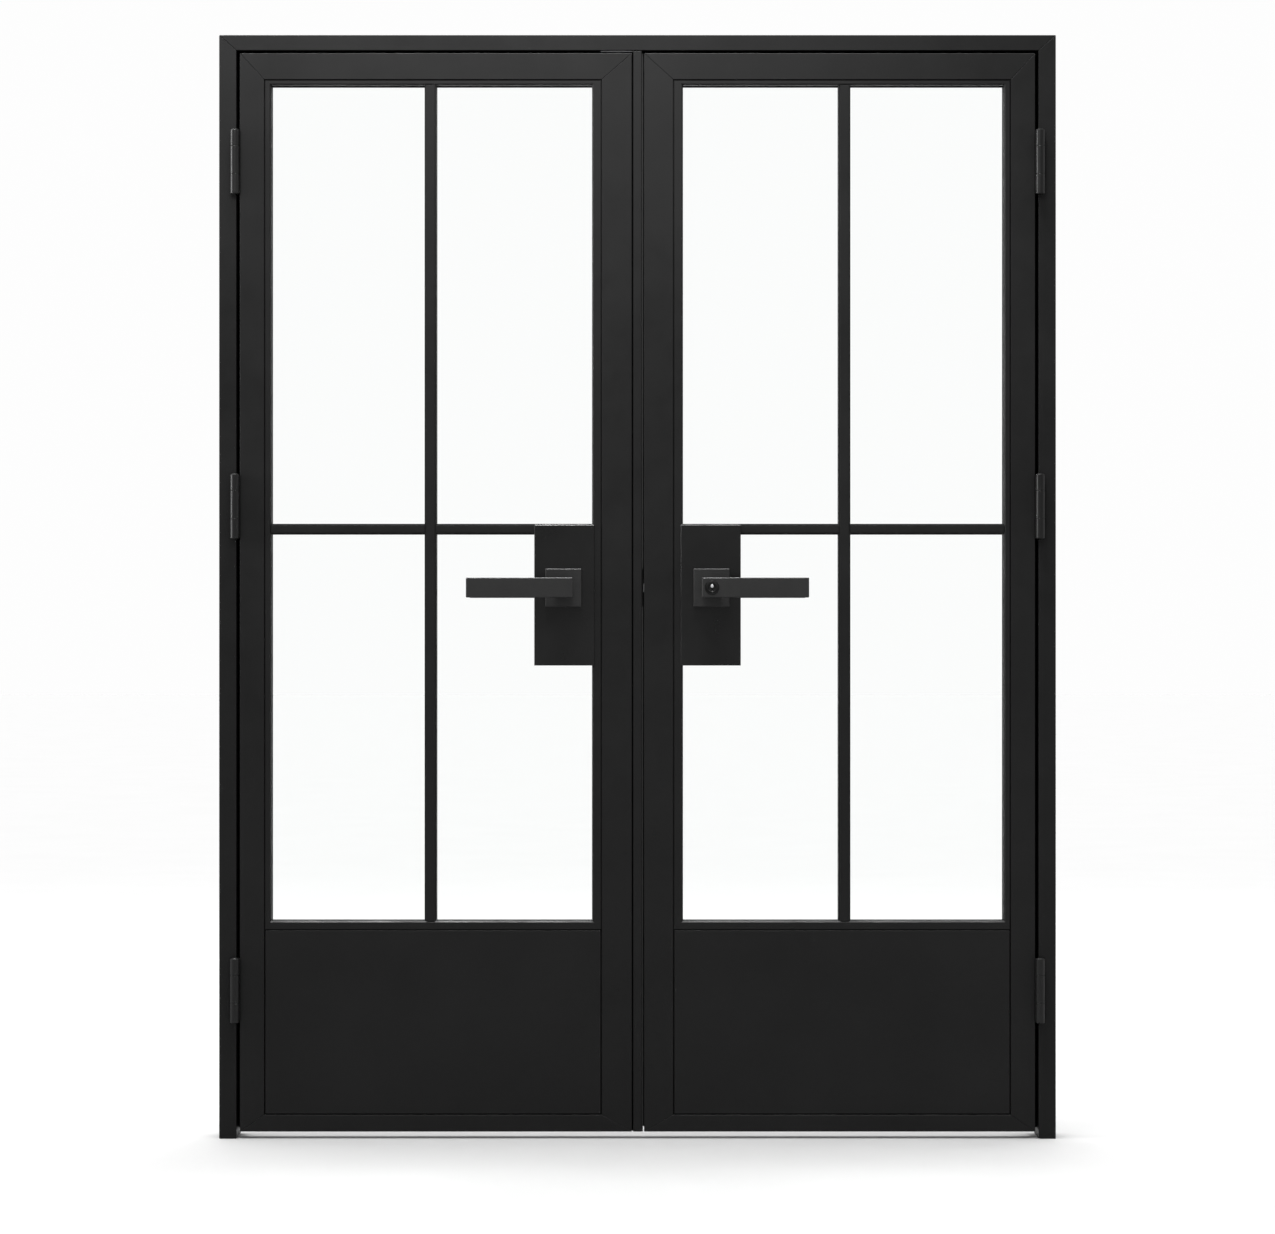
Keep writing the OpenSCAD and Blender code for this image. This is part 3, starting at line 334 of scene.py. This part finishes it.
def skin(bm, loops, close_start=True, close_end=True):
    """Quads between each loop and the next, with a face over each end."""
    count = len(loops[0])
    for near, far in zip(loops, loops[1:]):
        for i in range(count):
            j = (i + 1) % count
            bm.faces.new((near[i], near[j], far[j], far[i]))
    if close_start:
        bm.faces.new(loops[0][::-1])
    if close_end:
        bm.faces.new(loops[-1])


def round_points(radius, depth):
    """A circle of points at that depth."""
    angles = [math.tau * i / ROUND_STEPS for i in range(ROUND_STEPS)]
    return [(radius * math.cos(a), radius * math.sin(a), depth) for a in angles]


def hex_points(flat, depth):
    """A hexagon with as many points as the circle; flat is half its width across flats."""
    points = []
    for x, y, _ in round_points(1.0, depth):
        angle = (math.atan2(y, x) + math.pi / 6) % (math.pi / 3) - math.pi / 6
        points.append((x * flat / math.cos(angle), y * flat / math.cos(angle), depth))
    return points


def new_piece(name, bm, finish, body, replaced, smooth_angle=35):
    """An object from bm that rides on body, and stands for the CAD node replaced if any."""
    bmesh.ops.recalc_face_normals(bm, faces=bm.faces)
    mesh = bpy.data.meshes.new(name)
    bm.to_mesh(mesh)
    bm.free()
    mesh.materials.append(finish)
    mesh.shade_smooth()
    mesh.set_sharp_from_angle(angle=math.radians(smooth_angle))
    obj = bpy.data.objects.new(name, mesh)
    bpy.context.scene.collection.objects.link(obj)
    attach(obj, body)
    if replaced:
        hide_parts(replaced)
    return obj


def solids_of(node):
    """The box of each separate solid in a CAD node, as (low corner, high corner)."""
    obj = NODES[node]
    bm = bmesh.new()
    bm.from_mesh(obj.data)
    bmesh.ops.remove_doubles(bm, verts=bm.verts, dist=WELD_GAP)
    left = set(bm.verts)
    boxes = []
    while left:
        grow = [left.pop()]
        island = list(grow)
        while grow:
            vert = grow.pop()
            for edge in vert.link_edges:
                other = edge.other_vert(vert)
                if other in left:
                    left.discard(other)
                    grow.append(other)
                    island.append(other)
        spots = [obj.matrix_world @ v.co for v in island]
        low = Vector([min(p[i] for p in spots) for i in range(3)])
        high = Vector([max(p[i] for p in spots) for i in range(3)])
        boxes.append((low, high))
    bm.free()
    return sorted(boxes, key=lambda box: tuple(round(v, 5) for v in box[0]))


def screw(bm, low, high, head_x):
    """A socket screw along X in the box of its CAD solid, with its socket at head_x."""
    length = high.x - low.x
    radius = (high.z - low.z) / 2
    away = 1 if head_x == low.x else -1
    turn = Matrix(((0, 0, away), (0, 1, 0), (-away, 0, 0)))
    centre = Vector((head_x, (low.y + high.y) / 2, (low.z + high.z) / 2))
    sunk = radius > SUNK_HEAD_R
    head = SUNK_HEAD_H if sunk else PLAIN_END_H
    shank = radius - SUNK_HEAD_REACH if sunk else radius
    socket = radius * 0.42
    core = shank * 0.84  # the radius at the root of the thread
    loops = [
        hex_points(socket * 0.9, SOCKET_DEPTH),
        hex_points(socket, 0.0002),
        round_points(socket * 1.25, 0.0),
        round_points(radius - 0.0002, 0.0),
        round_points(radius, 0.0001),
        round_points(shank, head),
    ]
    tip = 0.0006
    for crest in range(int((length - head - tip) / THREAD_PITCH)):
        start = head + crest * THREAD_PITCH
        loops.append(round_points(core, start + THREAD_PITCH * 0.45))
        loops.append(round_points(shank, start + THREAD_PITCH * 0.8))
    loops.append(round_points(core * 0.6, length))
    skin(bm, [ring(bm, centre, turn, loop) for loop in loops])


def screws(name, node, body, heads_toward):
    """Socket screws in place of a node's plain ones. heads_toward(low, high) gives head_x."""
    bm = bmesh.new()
    for low, high in solids_of(node):
        screw(bm, low, high, heads_toward(low, high))
    new_piece(name, bm, FINISHES["bare_steel"], body, node)


def jamb_head(low, high):
    """A jamb's screw has its head at the end nearer the middle of the doors."""
    return low.x if low.x > 0 else high.x


def left_leaf_head(low, high):
    """A left leaf's screw has its head at the leaf's own edge, on whichever side it sits."""
    return low.x if low.x < -HINGE_SIDE else high.x


def right_leaf_head(low, high):
    """A right leaf's screw has its head at the leaf's own edge, on whichever side it sits."""
    return high.x if low.x > HINGE_SIDE else low.x


def keyway_outline(depth):
    """The plug's keyway: a narrow slot with a rib on each side, as a loop of points."""
    half, tall, rib = KEYWAY_HALF_W, KEYWAY_HALF_H, KEYWAY_RIB
    side = ROUND_STEPS // 2 - 2
    ribs = [0, 0, rib, rib, 0, 0, -rib, -rib, 0, 0]
    right = [(half + ribs[i], -tall + 2 * tall * i / (side - 1), depth) for i in range(side)]
    left = [(-half + ribs[i], y, d) for i, (_, y, d) in enumerate(right)][::-1]
    return [(0, -tall - half, depth)] + right + [(0, tall + half, depth)] + left


def meeting_lip():
    """The seal's thin curved lip, which laps behind the right leaf's back edge."""
    bar_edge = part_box("astragal")[1].x
    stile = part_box("right_meeting_stile")
    bottom, top = stile[0].z + LIP_END_GAP, stile[1].z - LIP_END_GAP
    back = stile[1].y
    edge = stile[0].x
    path = [
        (bar_edge - 0.0012, back + 0.0001),
        (bar_edge + 0.0012, back + 0.0011),
        (edge - 0.0006, back + 0.0013),
        (edge + 0.0012, back + 0.0008),
        (edge + 0.0026, back + 0.0012),
    ]
    bm = bmesh.new()
    outline = path + [(x, y + LIP_T) for x, y in path[::-1]]
    loops = []
    for i in range(LIP_STEPS + 1):
        z = bottom + (top - bottom) * i / LIP_STEPS
        loops.append([bm.verts.new((x, y, z)) for x, y in outline])
    skin(bm, loops)
    new_piece("meeting_seal_lip", bm, FINISHES["black_rubber"],
              "left_leaf", None, 60)


def key_front():
    """The cylinder's turned face, and the plug with its keyway and guide."""
    low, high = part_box("key_cylinder")
    centre = Vector(((low.x + high.x) / 2, low.y, (low.z + high.z) / 2))
    plug_low, plug_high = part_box("key_plug")
    plug_r, plug_l = (plug_high.x - plug_low.x) / 2, plug_high.y - plug_low.y
    turn = Matrix(((1, 0, 0), (0, 0, 1), (0, 1, 0)))
    cylinder_face(centre, turn, (high.x - low.x) / 2, high.y - low.y, plug_r, plug_l)
    plug_face(centre, turn, plug_r, plug_l)
    key_guide(centre, turn, plug_r * 0.4)


def cylinder_face(centre, turn, radius, length, plug_r, plug_l):
    """The cylinder as one turned body: a bore for the plug, a rolled rim and a bevel."""
    bore = plug_r + 0.0001
    profile = [
        (bore, plug_l + 0.0003),
        (bore, 0.0009),
        (plug_r + 0.0007, 0.0005),
        (plug_r + 0.0016, 0.0007),
        (radius - 0.0022, 0.0002),
        (radius - 0.0012, 0.0),
        (radius - 0.0004, 0.0003),
        (radius, 0.001),
        (radius, length - 0.0004),
        (radius - 0.0004, length),
        (plug_r * 0.6, length),
    ]
    bm = bmesh.new()
    skin(bm, [ring(bm, centre, turn, round_points(r, d)) for r, d in profile])
    new_piece("key_cylinder_front", bm, FINISHES["cylinder_metal"],
              "right_lever", "key_cylinder", 25)


def plug_face(centre, turn, radius, length):
    """The plug, with a keyway cut into its slightly domed face."""
    loops = [
        keyway_outline(KEYWAY_DEPTH),
        keyway_outline(PLUG_INSET),
        round_points(radius * 0.72, PLUG_INSET),
        round_points(radius * 0.9, PLUG_INSET + 0.0002),
        round_points(radius - 0.0002, PLUG_INSET + 0.0006),
        round_points(radius, PLUG_INSET + 0.001),
        round_points(radius, length),
    ]
    bm = bmesh.new()
    skin(bm, [ring(bm, centre, turn, loop) for loop in loops])
    new_piece("key_plug_front", bm, FINISHES["cylinder_metal"],
              "key_plug", "key_plug", 25)


def key_guide(centre, turn, radius):
    """The domed steel guide that shines at the head of the keyway."""
    slope = math.radians(28)  # how steep the dome is where it meets the plug's face
    curve = radius / math.sin(slope)
    past = 1.2  # the dome goes on this much past the plug's face, inside the plug
    steps = 8
    loops = []
    for i in range(1, steps + 1):
        angle = slope * past * i / steps
        depth = 0.0001 + curve * (1 - math.cos(angle))
        points = round_points(curve * math.sin(angle), depth)
        loops.append([(x, y + radius, d) for x, y, d in points])
    bm = bmesh.new()
    skin(bm, [ring(bm, centre, turn, loop) for loop in loops])
    new_piece("key_guide", bm, FINISHES["bare_steel"], "key_plug", None)


# ---- studio ----

# name, place, target, width, height, watts, spread in degrees
LAMPS = (
    ("key", (-0.4, -1.3, 2.5), (-0.2, 0, 1.8), 1.6, 0.4, 5.5, 90),
    ("strip", (-2.6, -0.4, 1.9), (0, 0, 1.5), 0.4, 1.6, 14, 90),
    ("back", (0, 3.4, 3.6), (0, 0.2, 0), 3.0, 1.5, 75, 180),
    ("edge", (-0.5, -0.5, 5.0), (-0.1, 0, 1.0), 2.4, 0.6, 75, 60),
)


def paper_floor():
    """A plain white floor around and behind the doors."""
    mesh = bpy.data.meshes.new("floor")
    r = FLOOR_REACH
    corners = [(-r, -r, 0), (r, -r, 0), (r, r, 0), (-r, r, 0)]
    mesh.from_pydata(corners, [], [(0, 1, 2, 3)])
    floor = bpy.data.objects.new("floor", mesh)
    bpy.context.scene.collection.objects.link(floor)
    mat, nodes, links, shader = new_material("floor_paper")
    tone = noise(nodes, links, object_coords(nodes, links), 3.0, 2.0)
    links.new(ramp(nodes, links, tone, 0.57, 0.58), shader.inputs["Base Color"])
    shader.inputs["Roughness"].default_value = 0.9
    shader.inputs["Specular IOR Level"].default_value = 0.1
    mesh.materials.append(mat)
    return floor


def between(nodes, links, value, span, result):
    """value over span, turned smoothly into result."""
    node = add(nodes, "ShaderNodeMapRange", interpolation_type="SMOOTHSTEP")
    for label, number in zip(("From Min", "From Max", "To Min", "To Max"), span + result):
        node.inputs[label].default_value = number
    links.new(value, node.inputs["Value"])
    return node.outputs["Result"]


def calculate(nodes, links, operation, first, second):
    """The two values put together by a Math node."""
    node = add(nodes, "ShaderNodeMath", operation=operation)
    links.new(first, node.inputs[0])
    links.new(second, node.inputs[1])
    return node.outputs[0]


def soft_box(name, place, target, width, height, power, spread):
    """A rectangular studio light at place that shines on target, within spread degrees."""
    light = bpy.data.lights.new(name, "AREA")
    light.shape = "RECTANGLE"
    light.size, light.size_y = width, height
    light.energy = power
    light.spread = math.radians(spread)
    obj = bpy.data.objects.new(name, light)
    bpy.context.scene.collection.objects.link(obj)
    obj.location = place
    aim = Vector(target) - Vector(place)
    obj.rotation_euler = aim.to_track_quat("-Z", "Y").to_euler()
    return obj


def white_studio(floor):
    """A white surround brighter overhead, and the lamps. The edge lamp skips the floor."""
    world = bpy.data.worlds.new("studio")
    bpy.context.scene.world = world
    world.use_nodes = True
    nodes, links = world.node_tree.nodes, world.node_tree.links
    background = nodes["Background"]
    background.inputs["Color"].default_value = (1, 1, 1, 1)
    way = nodes.new("ShaderNodeSeparateXYZ")
    links.new(nodes.new("ShaderNodeTexCoord").outputs["Generated"], way.inputs[0])
    overhead = between(nodes, links, way.outputs["Z"], (0.25, 0.75), (1.0, 2.0))
    ahead = between(nodes, links, way.outputs["Y"], (-0.7, -0.2), (FRONT_DIM, 1.0))
    above = between(nodes, links, way.outputs["Z"], (0.25, 0.55), (0.0, 1.0))
    wall = calculate(nodes, links, "MAXIMUM", ahead, above)
    light = calculate(nodes, links, "MULTIPLY", overhead, wall)
    path = nodes.new("ShaderNodeLightPath")
    seen = calculate(
        nodes, links, "MAXIMUM", path.outputs["Is Camera Ray"],
        path.outputs["Is Transmission Ray"],
    )
    shown = add(nodes, "ShaderNodeMix")
    links.new(seen, shown.inputs[0])
    links.new(light, shown.inputs[2])
    shown.inputs[3].default_value = BACKDROP
    links.new(shown.outputs[0], background.inputs["Strength"])
    bpy.context.scene.view_settings.view_transform = "Standard"
    lamps = {row[0]: soft_box(*row) for row in LAMPS}
    unlit = bpy.data.collections.new("not_lit_by_edge")
    unlit.objects.link(floor)
    unlit.collection_objects[0].light_linking.link_state = "EXCLUDE"
    lamps["edge"].light_linking.receiver_collection = unlit


def place_camera():
    """A level camera on the doors' centre line."""
    camera = bpy.data.cameras.new("camera")
    camera.lens = CAMERA_LENS
    camera.sensor_width = 36.0
    obj = bpy.data.objects.new("camera", camera)
    bpy.context.scene.collection.objects.link(obj)
    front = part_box("left_hinge_stile")[0].y
    obj.location = (0, front - CAMERA_DISTANCE, CAMERA_HEIGHT)
    obj.rotation_euler = (math.radians(90), 0, 0)
    bpy.context.scene.camera = obj


dress_cad_nodes()
screws("jamb_screws", "jamb_hinge_screws", "frame", jamb_head)
screws("left_screws", "left_leaf_screws", "left_leaf", left_leaf_head)
screws("right_screws", "right_leaf_screws", "right_leaf", right_leaf_head)
key_front()
meeting_lip()
white_studio(paper_floor())
place_camera()
